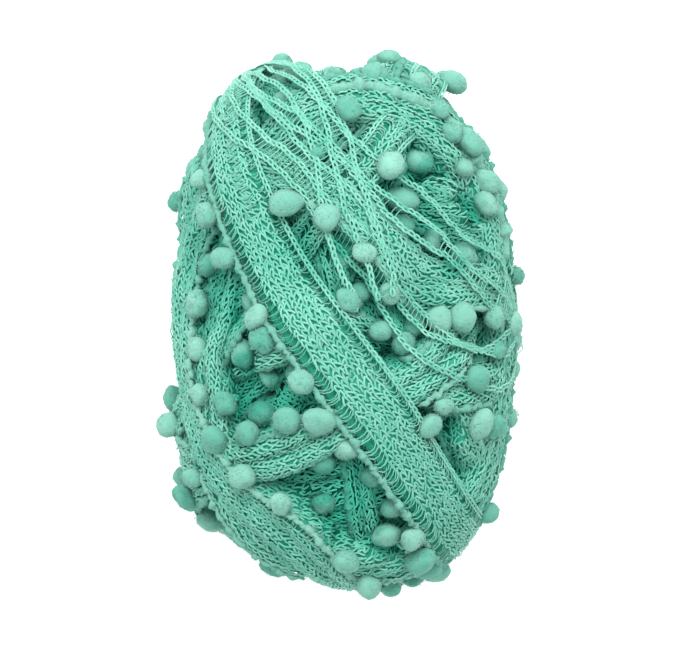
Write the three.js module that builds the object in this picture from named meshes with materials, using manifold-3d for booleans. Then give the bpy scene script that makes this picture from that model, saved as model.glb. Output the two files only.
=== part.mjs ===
// A ball of pom pom yarn: a knitted tape, with small pompoms along one edge, wound round and round into an
// oval ball. The ball lies on its back. Millimetres, +Z up: X runs across the ball, Y along it, and the
// origin is in the middle of the small flat spot that it rests on.

import * as THREE from "three";
import { mergeVertices } from "three/addons/utils/BufferGeometryUtils.js";
import Module from "manifold-3d";

const wasm = await Module();
wasm.setup();

// The driving sizes. The ball is a barrel with rounded ends, and the relief of its outer turns is on it.
const barrel = { halfWidth: 42.5, halfLength: 68, halfDepth: 40.5, squareness: 3 };
const restHeight = 39.2; // from the flat spot up to the middle of the ball
const flatSpot = { halfWidth: 12, halfLength: 24, lift: 0.1, slope: 0.1 }; // an oval, and the rise round it
const relief = { spread: 13, gain: 1.4, rise: 4, dip: 5 }; // the turns even out over so many degrees
const surfaceDetail = 19; // cuts along each edge of the 20-sided solid that the ball's surface starts from
const edgeStep = { reach: 1.3, rim: -0.2, foot: 1 }; // the wall at a turn's edge, in millimetres out from it

const tension = { rounds: 160, alongShare: 0.8, curve: 48 }; // how a turn bridges the hollows under it
const sections = { along: 120, across: 9 }; // stations at which a turn's height is worked out
const fine = { rows: 90, columns: 180 }; // the grid of directions that holds the ball's height
const evening = { rows: 20, columns: 40 }; // the coarser one that holds its mean

const pompom = { radius: 3.5, pitch: 12, outside: 3, hold: 0.95, variation: 0.12, turn: 2.4 };
const edgeCord = { radius: 1.2, outside: 1.5, sides: 3 };
const clearance = { body: 0.45, strings: 0.4, floor: 0.5 }; // between solids that touch on the real ball
const shortestString = 2; // pompoms

// The ways in which the tape lies in a turn. The crown is how much thicker its middle is than its edges.
const lays = {
  under: { thickness: 2.1, crown: 2 },
  flat: { thickness: 2.9, crown: 1.5 },
  loose: { thickness: 2.6, crown: 2 },
  gathered: { thickness: 3.8, crown: 3 },
};

// Two of the turns are bent: "sway" opens and closes the loop twice in its round, widest at "swayAt".
const bends = {
  left: { sway: 29, swayAt: -25 },
  top: { sway: 6, swayAt: -41 },
};

// The outer turns, the lowest first. Each one is a loop round an axis: "across" is the axis's angle in the
// plane of the ball's face, from +X towards +Y, "lean" its angle out of that plane towards +Z, and "cone"
// the angle between the axis and the tape, 90 for a loop round the middle. All in degrees, and the width
// in millimetres. "edges" are the sides that show pompoms: 1 away from the axis, -1 towards it, and both
// where the tape is folded over.
const turns = [
  { name: "under_level", across: 92, lean: 8, cone: 90, width: 24, lay: "under", edges: [] },
  { name: "under_rising", across: 128, lean: -12, cone: 92, width: 24, lay: "under", edges: [] },
  { name: "under_falling", across: 48, lean: 10, cone: 88, width: 24, lay: "under", edges: [1] },
  { name: "under_upright", across: 4, lean: -18, cone: 90, width: 24, lay: "under", edges: [1] },
  { name: "inner_steep", across: -20, lean: -55, cone: 84, width: 12, lay: "gathered", edges: [1] },
  { name: "inner_slant", across: 70, lean: -40, cone: 74, width: 12, lay: "gathered", edges: [-1] },
  { name: "inner_girth", across: 95, lean: -62, cone: 96, width: 13, lay: "gathered", edges: [1] },
  { name: "inner_end", across: 80, lean: -14, cone: 58, width: 12, lay: "gathered", edges: [1] },
  { name: "foot_low", across: 106, lean: 75, cone: 87, width: 12, lay: "gathered", edges: [-1, 1] },
  { name: "deep_falling", across: -145, lean: 6, cone: 96, width: 18, lay: "loose", edges: [1] },
  { name: "deep_rising", across: 145, lean: 3, cone: 71, width: 15, lay: "loose", edges: [1] },
  { name: "right_side", across: 157, lean: 85, cone: 80, width: 15, lay: "flat", edges: [-1, 1] },
  { name: "foot_upper", across: 107, lean: 33, cone: 106, width: 11, lay: "gathered", edges: [-1, 1] },
  { name: "foot_middle", across: 112, lean: 49, cone: 98, width: 11, lay: "gathered", edges: [1] },
  { name: "top_upright", across: 7, lean: 1, cone: 90, width: 8, lay: "loose", edges: [1] },
  { name: "low_right", across: -98, lean: 32, cone: 52, width: 14, lay: "gathered", edges: [-1, 1] },
  { name: "middle_falling", across: -152, lean: 19, cone: 96, width: 13, lay: "loose", edges: [1, -1] },
  { name: "low_left", across: -76, lean: 4, cone: 56, width: 10, lay: "gathered", edges: [-1] },
  { name: "left_rising", across: -36, lean: 16, cone: 112, width: 12, lay: "loose", edges: [-1, 1] },
  { name: "middle_rising", across: 117, lean: 20, cone: 100, width: 11, lay: "gathered", edges: [1, -1] },
  { name: "top_rising", across: 121, lean: 6, cone: 49, width: 13, lay: "flat", edges: [-1] },
  { name: "shoulder", across: -23, lean: 81, cone: 67, width: 13, lay: "flat", edges: [1] },
  { name: "left_side", across: -63, lean: 60, cone: 72, width: 15, lay: "flat", edges: [-1], ...bends.left },
  { name: "broad_falling", across: 26, lean: 14, cone: 86, width: 18, lay: "flat", edges: [1], ...bends.top },
];

// The distance from the middle of the ball to the barrel's surface, in the direction of a unit vector.
function barrelRadius(direction) {
  const round = Math.hypot(direction.x / barrel.halfWidth, direction.z / barrel.halfDepth);
  const end = Math.abs(direction.y) / barrel.halfLength;
  return (round ** barrel.squareness + end ** barrel.squareness) ** (-1 / barrel.squareness);
}

function directionAt(latitude, longitude) {
  return new THREE.Vector3(
    Math.cos(latitude) * Math.sin(longitude),
    Math.sin(latitude),
    Math.cos(latitude) * Math.cos(longitude),
  );
}

// The height of the wound turns, kept on a grid of latitude and longitude about the Y axis.
class HeightMap {
  constructor({ rows, columns }) {
    this.rows = rows;
    this.columns = columns;
    this.heights = new Float64Array((rows + 1) * columns);
  }

  // Sets each place of the grid to what "height" gives for its direction and its present height.
  fill(height) {
    for (let row = 0; row <= this.rows; row++) {
      for (let column = 0; column < this.columns; column++) {
        const direction = directionAt(
          Math.PI * (row / this.rows - 0.5),
          (2 * Math.PI * column) / this.columns,
        );
        const cell = row * this.columns + column;
        this.heights[cell] = height(direction, this.heights[cell]);
      }
    }
  }

  at(direction) {
    const row = (Math.asin(THREE.MathUtils.clamp(direction.y, -1, 1)) / Math.PI + 0.5) * this.rows;
    const turned = Math.atan2(direction.x, direction.z) / (2 * Math.PI);
    const column = (turned - Math.floor(turned)) * this.columns;
    const low = Math.min(Math.floor(row), this.rows - 1);
    const left = Math.floor(column) % this.columns;
    const right = (left + 1) % this.columns;
    const up = row - low;
    const over = column - Math.floor(column);
    const cell = (r, c) => this.heights[r * this.columns + c];
    return THREE.MathUtils.lerp(
      THREE.MathUtils.lerp(cell(low, left), cell(low, right), over),
      THREE.MathUtils.lerp(cell(low + 1, left), cell(low + 1, right), over),
      up,
    );
  }
}

// One loop of tape on the ball: its axis, its middle line, and the way from a place on the tape to a
// direction from the middle of the ball and back.
class Turn {
  constructor(row) {
    Object.assign(this, { sway: 0, swayAt: 0 }, row, lays[row.lay]);
    const across = THREE.MathUtils.degToRad(row.across);
    const lean = THREE.MathUtils.degToRad(row.lean);
    this.axis = new THREE.Vector3(
      Math.cos(lean) * Math.cos(across),
      Math.cos(lean) * Math.sin(across),
      Math.sin(lean),
    );
    const reference =
      Math.abs(this.axis.y) < 0.9 ? new THREE.Vector3(0, 1, 0) : new THREE.Vector3(1, 0, 0);
    this.sideways = new THREE.Vector3().crossVectors(reference, this.axis).normalize();
    this.upwards = new THREE.Vector3().crossVectors(this.axis, this.sideways);
    this.scales = Array.from({ length: sections.along }, (_, i) => this.measureAcross(this.angle(i)));
  }

  angle(station) {
    return (2 * Math.PI * station) / sections.along;
  }

  opening(angle) {
    const swing = Math.cos(2 * (angle - THREE.MathUtils.degToRad(this.swayAt)));
    return THREE.MathUtils.degToRad(this.cone + this.sway * swing);
  }

  direction(angle, tilt) {
    const open = this.opening(angle) + tilt;
    return new THREE.Vector3()
      .addScaledVector(this.axis, Math.cos(open))
      .addScaledVector(this.sideways, Math.sin(open) * Math.cos(angle))
      .addScaledVector(this.upwards, Math.sin(open) * Math.sin(angle));
  }

  // Millimetres across the tape for each radian of tilt.
  measureAcross(angle) {
    const small = 0.02;
    const [one, other] = [-small, small].map((tilt) => {
      const direction = this.direction(angle, tilt);
      return direction.multiplyScalar(barrelRadius(direction));
    });
    return one.distanceTo(other) / (2 * small);
  }

  scale(angle) {
    const station = ((angle / (2 * Math.PI)) * sections.along + sections.along) % sections.along;
    const low = Math.floor(station) % sections.along;
    return THREE.MathUtils.lerp(
      this.scales[low],
      this.scales[(low + 1) % sections.along],
      station - Math.floor(station),
    );
  }

  // The direction of a place on the tape, "out" millimetres from its middle line.
  place(angle, out) {
    return this.direction(angle, out / this.scale(angle));
  }

  // Where a direction lies on this turn: the angle round the axis and the distance from the middle line.
  locate(direction) {
    const angle = Math.atan2(direction.dot(this.upwards), direction.dot(this.sideways));
    const open = Math.acos(THREE.MathUtils.clamp(direction.dot(this.axis), -1, 1));
    return { angle, out: (open - this.opening(angle)) * this.scale(angle) };
  }

  offset(j) {
    return (j / (sections.across - 1) - 0.5) * this.width;
  }

  // The height of the tape's underside at its stations. The tape is pulled tight: it rests on the high
  // places of what is already wound, and hangs between them nearly straight.
  settle(heights) {
    const { along, across } = sections;
    const under = [];
    for (let i = 0; i < along; i++) {
      for (let j = 0; j < across; j++) under.push(heights.at(this.place(this.angle(i), this.offset(j))));
    }
    const stepLength = (2 * Math.PI * tension.curve) / along;
    const sag = stepLength ** 2 / (2 * tension.curve);
    this.lie = under.slice();
    for (let round = 0; round < tension.rounds; round++) {
      const before = this.lie.slice();
      for (let i = 0; i < along; i++) {
        const previous = ((i + along - 1) % along) * across;
        const next = ((i + 1) % along) * across;
        for (let j = 0; j < across; j++) {
          const lengthwise = (before[previous + j] + before[next + j]) / 2;
          const beside =
            (before[i * across + Math.max(j - 1, 0)] + before[i * across + Math.min(j + 1, across - 1)]) / 2;
          const pulled = THREE.MathUtils.lerp(beside, lengthwise, tension.alongShare) - sag;
          this.lie[i * across + j] = Math.max(under[i * across + j], pulled);
        }
      }
    }
  }

  // The height of the tape's upper side at a place on it.
  top(angle, out) {
    const { along, across } = sections;
    const station = ((angle / (2 * Math.PI)) * along + along) % along;
    const i = Math.floor(station) % along;
    const column = THREE.MathUtils.clamp((out / this.width + 0.5) * (across - 1), 0, across - 1.001);
    const j = Math.floor(column);
    const cell = (a, b) => this.lie[(a % along) * across + b];
    const near = THREE.MathUtils.lerp(cell(i, j), cell(i, j + 1), column - j);
    const far = THREE.MathUtils.lerp(cell(i + 1, j), cell(i + 1, j + 1), column - j);
    const rounded = this.crown * (1 - Math.min(1, Math.abs(2 * out) / this.width) ** 2);
    return THREE.MathUtils.lerp(near, far, station - Math.floor(station)) + this.thickness + rounded;
  }
}

// Winds the turns on, one after the other, and returns the ball's height map.
function windBall(loops) {
  const heights = new HeightMap(fine);
  for (const loop of loops) {
    loop.settle(heights);
    heights.fill((direction, height) => {
      const { angle, out } = loop.locate(direction);
      return Math.abs(out) > loop.width / 2 ? height : Math.max(height, loop.top(angle, out));
    });
  }
  return heights;
}

// The mean height of the turns round each direction. A ball is wound fuller where few turns cross, so
// this mean is taken off the heights, and what is left is the relief of the outer turns.
function spreadOut(heights) {
  const mean = new HeightMap(evening);
  const samples = [];
  for (let row = 0; row <= evening.rows * 2; row++) {
    const latitude = Math.PI * (row / (evening.rows * 2) - 0.5);
    const around = Math.max(1, Math.round(evening.columns * 2 * Math.cos(latitude)));
    for (let i = 0; i < around; i++) {
      const longitude = (2 * Math.PI * i) / around;
      const direction = directionAt(latitude, longitude);
      samples.push({ direction, height: heights.at(direction) });
    }
  }
  const spread = THREE.MathUtils.degToRad(relief.spread);
  mean.fill((direction) => {
    let total = 0;
    let weights = 0;
    for (const sample of samples) {
      const apart = direction.angleTo(sample.direction);
      const weight = Math.exp(-((apart / spread) ** 2) / 2);
      total += weight * sample.height;
      weights += weight;
    }
    return total / weights;
  });
  return mean;
}

// A point of the ball, in the part's own frame, from its direction and the height of the turns there.
function pointAt(direction, height) {
  const over = relief.gain * (height - mean.at(direction));
  const limit = over > 0 ? relief.rise : relief.dip;
  const raised = limit * Math.tanh(over / limit);
  return direction
    .clone()
    .multiplyScalar(barrelRadius(direction) + raised)
    .add(new THREE.Vector3(0, 0, restHeight));
}

function bareCopy(geometry) {
  const bare = geometry.clone();
  bare.deleteAttribute("normal");
  bare.deleteAttribute("uv");
  return mergeVertices(bare);
}

// Slides a direction that is close to the edge of an open turn to that edge's rim or foot, so that the
// edge comes out as one clean step.
function steppedAtEdges(direction) {
  for (const loop of loopsFromTheTop) {
    const { angle, out } = loop.locate(direction);
    const beyond = Math.abs(out) - loop.width / 2;
    if (Math.abs(beyond) < edgeStep.reach) {
      const target = beyond > 0 ? edgeStep.foot : edgeStep.rim;
      return loop.place(angle, Math.sign(out) * (loop.width / 2 + target));
    }
    if (beyond < 0) return direction;
  }
  return direction;
}

// How far out a place on the floor is from the middle of the flat spot: 1 on the rim of its oval.
function spotShare(x, y) {
  return Math.hypot(x / flatSpot.halfWidth, y / flatSpot.halfLength);
}

// Makes the flat spot one even face. The faces whose corners are all "inside" go, the ring of corners
// that is left is laid on the rim of the oval, and one wide triangle and three fans fill it.
function withFlatSpot(geometry, inside) {
  const position = geometry.getAttribute("position");
  const faces = [];
  const edges = new Set();
  for (let i = 0; i < geometry.index.count; i += 3) {
    const face = [...geometry.index.array.slice(i, i + 3)];
    if (!face.every((corner) => inside.has(corner))) {
      faces.push(...face);
      continue;
    }
    face.forEach((from, k) => {
      const to = face[(k + 1) % 3];
      if (!edges.delete(`${to} ${from}`)) edges.add(`${from} ${to}`);
    });
  }
  const following = new Map([...edges].map((edge) => edge.split(" ").map(Number)));
  const ring = [following.keys().next().value];
  while (ring.length < following.size) ring.push(following.get(ring.at(-1)));
  for (const corner of ring) {
    const share = spotShare(position.getX(corner), position.getY(corner));
    position.setXYZ(corner, position.getX(corner) / share, position.getY(corner) / share, 0);
  }
  const starts = [0, 1 / 3, 2 / 3].map((share) => Math.round(share * ring.length));
  faces.push(...starts.map((start) => ring[start]));
  starts.forEach((start, i) => {
    const end = starts[i + 1] ?? ring.length;
    for (let k = start + 1; k < end; k++) faces.push(ring[start], ring[k], ring[(k + 1) % ring.length]);
  });
  geometry.setIndex(faces);
  return mergeVertices(geometry.toNonIndexed());
}

// The wound ball as one closed surface with its flat spot.
function ballGeometry() {
  const geometry = bareCopy(new THREE.IcosahedronGeometry(1, surfaceDetail));
  const position = geometry.getAttribute("position");
  const inside = new Set();
  for (let i = 0; i < position.count; i++) {
    const even = new THREE.Vector3().fromBufferAttribute(position, i).normalize();
    const onFloor = even.clone().multiplyScalar(restHeight / Math.abs(even.z));
    if (even.z < 0 && spotShare(onFloor.x, onFloor.y) < 1) {
      inside.add(i);
      position.setXYZ(i, onFloor.x, onFloor.y, 0);
      continue;
    }
    const direction = steppedAtEdges(even);
    const point = pointAt(direction, heights.at(direction));
    const beyond = Math.max(0, spotShare(point.x, point.y) - 1) * flatSpot.halfWidth;
    const lowest = flatSpot.lift + flatSpot.slope * beyond;
    position.setXYZ(i, point.x, point.y, Math.max(point.z, lowest));
  }
  return withFlatSpot(geometry, inside);
}

// The faces of a solid, sorted into cubes of space, to measure how far a point is from the nearest one.
class Faces {
  constructor(geometry, cube) {
    this.cube = cube;
    this.cubes = new Map();
    const position = geometry.getAttribute("position");
    const corners = geometry.index.array;
    for (let i = 0; i < corners.length; i += 3) {
      const [a, b, c] = [...corners.slice(i, i + 3)].map((corner) =>
        new THREE.Vector3().fromBufferAttribute(position, corner),
      );
      const key = this.key(a.clone().add(b).add(c).divideScalar(3));
      if (!this.cubes.has(key)) this.cubes.set(key, []);
      this.cubes.get(key).push(new THREE.Triangle(a, b, c));
    }
  }

  key(point, x = 0, y = 0, z = 0) {
    const place = (value, step) => Math.floor(value / this.cube) + step;
    return `${place(point.x, x)} ${place(point.y, y)} ${place(point.z, z)}`;
  }

  distance(point) {
    const nearest = new THREE.Vector3();
    let least = this.cube;
    for (const x of [-1, 0, 1]) {
      for (const y of [-1, 0, 1]) {
        for (const z of [-1, 0, 1]) {
          for (const face of this.cubes.get(this.key(point, x, y, z)) ?? []) {
            face.closestPointToPoint(point, nearest);
            least = Math.min(least, nearest.distanceTo(point));
          }
        }
      }
    }
    return least;
  }
}

// Raises a round thing, along its direction from the middle of the ball, until it is clear of the faces.
function seat(direction, radius, start) {
  const centre = start ?? pointAt(direction, heights.at(direction)).addScaledVector(direction, radius);
  const tries = 12;
  for (let i = 0; i < tries; i++) {
    const short = radius + clearance.body - ballFaces.distance(centre);
    if (short < 0.01) break;
    centre.addScaledVector(direction, short);
  }
  return centre;
}

// The stations of a turn's edge, half a pompom pitch apart, all the way round.
function edgeStations(loop, edge) {
  const stations = [];
  const side = (outside) => edge * (loop.width / 2 + outside);
  const small = 0.01;
  const surface = (angle) => {
    const direction = loop.place(angle, side(edgeCord.outside));
    return direction.multiplyScalar(barrelRadius(direction));
  };
  let angle = 0;
  while (angle < 2 * Math.PI) {
    const cordDirection = loop.place(angle, side(edgeCord.outside));
    const pompomDirection = loop.place(angle, side(pompom.outside));
    stations.push({ cordDirection, pompomDirection });
    const speed = surface(angle).distanceTo(surface(angle + small)) / small;
    angle += pompom.pitch / 2 / speed;
  }
  return stations.slice(0, -1);
}

// Whether a turn that is wound over this one lies on a place.
function isCovered(loop, direction, margin) {
  return loops
    .slice(loops.indexOf(loop) + 1)
    .some((upper) => Math.abs(upper.locate(direction).out) < upper.width / 2 + margin);
}

function isFree(centre, radius, beads) {
  const isHigh = centre.z - radius > clearance.floor;
  return (
    isHigh &&
    beads.every((bead) => bead.centre.distanceTo(centre) > bead.radius + radius + clearance.strings)
  );
}

// The pompom strings of one edge of a turn: each is a stretch where that edge is open to view. "beads"
// are the round places that the strings laid before take up.
function stringsOf(loop, edge, beads) {
  const runs = [[]];
  edgeStations(loop, edge).forEach(({ cordDirection, pompomDirection }, i) => {
    const cord = seat(cordDirection, edgeCord.radius);
    const isOpen =
      !isCovered(loop, cordDirection, edgeCord.radius) && isFree(cord, edgeCord.radius, beads);
    if (!isOpen) {
      runs.push([]);
      return;
    }
    const station = { cord, cordDirection };
    if (i % 2 === 0) {
      const radius = pompom.radius * (1 + pompom.variation * Math.sin(pompom.turn * i));
      const centre = [pompomDirection, cordDirection]
        .filter((direction) => !isCovered(loop, direction, edgeCord.radius))
        .map((direction) => seat(direction, radius))
        .find((one) => one.distanceTo(cord) < pompom.hold * radius && isFree(one, radius, beads));
      if (centre) station.pompom = { centre, radius };
    }
    runs.at(-1).push(station);
  });
  return runs
    .map((run) => {
      const first = run.findIndex((station) => station.pompom);
      const last = run.findLastIndex((station) => station.pompom);
      return first < 0 ? [] : run.slice(first, last + 1);
    })
    .filter((run) => run.filter((station) => station.pompom).length >= shortestString);
}

// Lifts the cord of a string where it would cut through a ridge of the ball between two stations.
function liftOverRidges(run) {
  const between = [0.25, 0.5, 0.75];
  const rounds = 3;
  for (let round = 0; round < rounds; round++) {
    for (let i = 0; i + 1 < run.length; i++) {
      for (const share of between) {
        const centre = run[i].cord.clone().lerp(run[i + 1].cord, share);
        const short = edgeCord.radius + clearance.body - ballFaces.distance(centre);
        if (short <= 0) continue;
        run[i].cord.addScaledVector(run[i].cordDirection, short);
        run[i + 1].cord.addScaledVector(run[i + 1].cordDirection, short);
      }
    }
  }
}

// The cord of a string: a thin closed strip with a three-cornered section, one corner up.
function cordGeometry(run) {
  const points = [];
  const faces = [];
  const { sides, radius } = edgeCord;
  run.forEach(({ cord, cordDirection }, i) => {
    const before = run[Math.max(i - 1, 0)].cord;
    const after = run[Math.min(i + 1, run.length - 1)].cord;
    const along = after.clone().sub(before).normalize();
    const across = new THREE.Vector3().crossVectors(along, cordDirection).normalize();
    const up = new THREE.Vector3().crossVectors(across, along);
    for (let k = 0; k < sides; k++) {
      const turned = (2 * Math.PI * k) / sides;
      const corner = cord
        .clone()
        .addScaledVector(up, radius * Math.cos(turned))
        .addScaledVector(across, radius * Math.sin(turned));
      points.push(corner.x, corner.y, corner.z);
    }
  });
  for (let i = 0; i + 1 < run.length; i++) {
    for (let k = 0; k < sides; k++) {
      const here = i * sides + k;
      const beside = i * sides + ((k + 1) % sides);
      faces.push(here, beside, here + sides, beside, beside + sides, here + sides);
    }
  }
  const end = (run.length - 1) * sides;
  faces.push(0, 2, 1, end, end + 1, end + 2);
  const geometry = new THREE.BufferGeometry();
  geometry.setAttribute("position", new THREE.Float32BufferAttribute(points, 3));
  geometry.setIndex(faces);
  return geometry;
}

function pompomGeometry({ centre, radius }, i) {
  const ball = bareCopy(new THREE.IcosahedronGeometry(radius, 0));
  ball.rotateX(i * pompom.turn);
  ball.rotateZ(i);
  return ball.translate(centre.x, centre.y, centre.z);
}

function solidOf(geometry) {
  return new wasm.Manifold(
    new wasm.Mesh({
      numProp: 3,
      vertProperties: Float32Array.from(geometry.getAttribute("position").array),
      triVerts: Uint32Array.from(geometry.index.array),
    }),
  );
}

function geometryOf(solid) {
  const { vertProperties, triVerts } = solid.getMesh();
  const geometry = new THREE.BufferGeometry();
  geometry.setAttribute("position", new THREE.BufferAttribute(vertProperties, 3));
  geometry.setIndex(new THREE.BufferAttribute(triVerts, 1));
  return geometry;
}

// A string as one solid: its pompoms fused to the cord.
function stringGeometry(run) {
  const pompoms = run.filter((station) => station.pompom).map((station) => station.pompom);
  const solids = pompoms.map((one, i) => solidOf(pompomGeometry(one, i)));
  return geometryOf(solids.reduce((string, one) => string.add(one), solidOf(cordGeometry(run))));
}

// The round places that a string takes up, close enough together to keep other strings off its cord.
function beadsOf(run) {
  const beads = [];
  run.forEach((station, i) => {
    if (station.pompom) beads.push(station.pompom);
    const next = run[Math.min(i + 1, run.length - 1)].cord;
    for (const share of [0, 1 / 3, 2 / 3]) {
      beads.push({ centre: station.cord.clone().lerp(next, share), radius: edgeCord.radius });
    }
  });
  return beads;
}

const loops = turns.map((row) => new Turn(row));
const loopsFromTheTop = loops.toReversed();
const heights = windBall(loops);
const mean = spreadOut(heights);

const materials = {
  tape: new THREE.MeshStandardMaterial({ color: 0x63b79c, roughness: 0.6, metalness: 0 }),
  pompom: new THREE.MeshStandardMaterial({ color: 0x86ceb5, roughness: 0.95, metalness: 0 }),
};

const yarnBall = new THREE.Group();
const body = new THREE.Mesh(ballGeometry(), materials.tape);
body.name = "wound_ball";
yarnBall.add(body);

const faceCube = 8; // millimetres, more than the largest round thing with its clearance
const ballFaces = new Faces(body.geometry, faceCube);
const beads = [];
let count = 0;
for (const loop of loopsFromTheTop) {
  for (const edge of loop.edges) {
    for (const run of stringsOf(loop, edge, beads)) {
      liftOverRidges(run);
      beads.push(...beadsOf(run));
      count += 1;
      const string = new THREE.Mesh(stringGeometry(run), materials.pompom);
      string.name = `pompom_string_${String(count).padStart(2, "0")}`;
      yarnBall.add(string);
    }
  }
}

export default yarnBall;
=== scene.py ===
import math

import bmesh
import bpy
import numpy as np
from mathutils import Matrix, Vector
from mathutils.kdtree import KDTree


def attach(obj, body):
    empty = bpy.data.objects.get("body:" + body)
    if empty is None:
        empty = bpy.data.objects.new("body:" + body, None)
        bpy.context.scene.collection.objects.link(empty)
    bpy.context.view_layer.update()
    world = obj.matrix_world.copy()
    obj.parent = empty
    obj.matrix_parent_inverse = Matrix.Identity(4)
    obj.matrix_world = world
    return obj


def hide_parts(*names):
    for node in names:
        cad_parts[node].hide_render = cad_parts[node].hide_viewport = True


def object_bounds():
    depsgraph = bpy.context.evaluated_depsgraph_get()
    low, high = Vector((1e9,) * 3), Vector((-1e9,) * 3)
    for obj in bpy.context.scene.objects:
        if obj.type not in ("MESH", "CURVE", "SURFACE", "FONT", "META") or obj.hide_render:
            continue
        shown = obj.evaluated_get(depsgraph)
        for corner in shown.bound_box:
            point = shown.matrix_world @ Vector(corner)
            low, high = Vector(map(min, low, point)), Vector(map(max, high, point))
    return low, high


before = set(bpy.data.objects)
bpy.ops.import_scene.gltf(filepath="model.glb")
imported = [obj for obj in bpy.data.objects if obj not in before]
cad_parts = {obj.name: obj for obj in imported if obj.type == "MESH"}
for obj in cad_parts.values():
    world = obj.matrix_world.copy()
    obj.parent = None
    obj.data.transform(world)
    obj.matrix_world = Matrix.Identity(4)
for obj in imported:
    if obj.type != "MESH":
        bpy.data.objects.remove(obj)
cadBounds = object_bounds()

print("the frame is loaded:", len(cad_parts), "nodes")

# The ball of pom pom yarn is wound here again, turn by turn, in millimetres from its middle.
# Every stitch, rung, cord and pompom then lies on the turn that it belongs to.
ballForm = {
    "halfWidth": 42.5,
    "halfLength": 68.0,
    "halfDepth": 40.5,
    "squareness": 3.0,
    "restHeight": 39.2,  # from the surface it lies on up to its middle
    "mapRows": 90,
    "mapColumns": 180,
    "meanRows": 20,
    "meanColumns": 40,
    "evenOver": 13.0,  # degrees
    "gain": 1.4,
    "rise": 4.0,
    "dip": 5.0,
    "stations": 120,
    "acrossStations": 9,
    "rounds": 160,
    "alongShare": 0.8,  # how much of a turn's pull runs along it
    "netShare": 0.97,
    "ropeCrown": 0.75,  # of the crown, under a gathered turn's ropes
    "curve": 48.0,
    "floorGap": 0.05,
}

lays = {
    "under": {"thickness": 2.1, "crown": 2.0},
    "flat": {"thickness": 2.9, "crown": 1.5},
    "loose": {"thickness": 2.6, "crown": 2.0},
    "gathered": {"thickness": 3.8, "crown": 3.0},
    "net": {"thickness": 1.0, "crown": 0.0},
}

# Name, then the axis and opening in degrees, sway and where it is furthest out, the width in
# millimetres, how the tape lies, the edges with pompoms and how its cloth shows. Lowest first.
turnRows = [
    ("under_level", 92, 8, 90, 0, 0, 24, "under", [], "dense"),
    ("under_rising", 128, -12, 92, 0, 0, 24, "under", [], "dense"),
    ("under_falling", 48, 10, 88, 0, 0, 24, "under", [1], "dense"),
    ("under_upright", 4, -18, 90, 0, 0, 24, "under", [1], "dense"),
    ("inner_steep", -20, -55, 84, 0, 0, 12, "gathered", [1], "gathered"),
    ("inner_slant", 70, -40, 74, 0, 0, 12, "gathered", [-1], "gathered"),
    ("inner_girth", 95, -62, 96, 0, 0, 13, "gathered", [1], "gathered"),
    ("inner_end", 80, -14, 58, 0, 0, 12, "gathered", [1], "gathered"),
    ("foot_low", 106, 75, 87, 0, 0, 12, "gathered", [-1, 1], "gathered"),
    ("deep_falling", -145, 6, 96, 0, 0, 18, "loose", [1], "dense"),
    ("deep_rising", 145, 3, 71, 0, 0, 15, "loose", [1], "gathered"),
    ("right_side", 157, 85, 80, 0, 0, 15, "flat", [-1, 1], "gathered"),
    ("foot_upper", 107, 33, 106, 0, 0, 11, "gathered", [-1, 1], "gathered"),
    ("foot_middle", 112, 49, 98, 0, 0, 11, "gathered", [1], "gathered"),
    ("top_upright", 7, 1, 90, 0, 0, 8, "loose", [1], "gathered"),
    ("low_right", -98, 32, 52, 0, 0, 14, "gathered", [-1, 1], "gathered"),
    ("middle_falling", -152, 19, 96, 0, 0, 13, "loose", [1, -1], "dense"),
    ("low_left", -76, 4, 56, 0, 0, 10, "gathered", [-1], "gathered"),
    ("left_rising", -36, 16, 112, 0, 0, 12, "loose", [-1, 1], "dense"),
    ("middle_rising", 117, 20, 100, 0, 0, 11, "gathered", [1, -1], "gathered"),
    ("top_rising", 121, 6, 49, 0, 0, 13, "flat", [-1], "ladder"),
    ("shoulder", -23, 81, 67, 0, 0, 13, "flat", [1], "gathered"),
    ("left_side", -63, 60, 72, 29, -25, 15, "flat", [-1], "dense"),
    ("broad_falling", 26, 14, 86, 6, -41, 18, "flat", [1], "broad"),
]

# Three stretches are pulled open into nets of thin chains, which lie over all else.
netRows = [
    ("net_left", -128, 4, 127, 6, -24, 15, "net", [1], "net"),
    ("net_right", 54, 17, 57, 7, 85, 15, "net", [-1], "net"),
    ("net_upright", 21, -13, 90, 5, 30, 12, "net", [1], "net"),
]

# Deep places between the turns on the front: the middle, half the length and half the width in
# millimetres, the heading in degrees and the depth. Broad flat turns bridge them.
pocketRows = [
    (0, 21, 4.2, 3.4, 0, 6.0),
    (30, 14.5, 4.0, 3.4, 60, 6.5),
    (-6, 47, 6.0, 2.6, 110, 4.5),
    (35, 32, 7.0, 2.2, -55, 5.5),
    (23, 43, 5.5, 2.0, 40, 4.5),
    (-27, -11, 5.0, 4.0, 80, 5.5),
    (-24, -24, 4.0, 2.6, 20, 5.0),
    (15, -10, 4.0, 2.6, 130, 4.5),
    (30, -29, 4.8, 3.0, 100, 6.0),
    (-5, -49, 8.0, 2.0, 8, 5.0),
    (12, -62, 7.0, 2.2, -8, 5.0),
]
bridgingTurns = ["broad_falling", "left_side"]
pocketForm = {"above": 3.0, "steepness": 1.25}


def pocketDepth(direction):
    spot = direction * (barrelRadius(direction) + pocketForm["above"])[..., None]
    depth = np.zeros(direction.shape[:-1])
    for x, y, long, short, heading, deep in pocketRows:
        heading = math.radians(heading)
        over = spot[..., 0] - x
        beside = spot[..., 1] - y
        along = (over * math.cos(heading) + beside * math.sin(heading)) / long
        across = (beside * math.cos(heading) - over * math.sin(heading)) / short
        here = deep * np.clip(pocketForm["steepness"] * (1 - along**2 - across**2), 0, 1)
        depth = np.maximum(depth, np.where(direction[..., 2] > 0, here, 0))
    return depth


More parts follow.
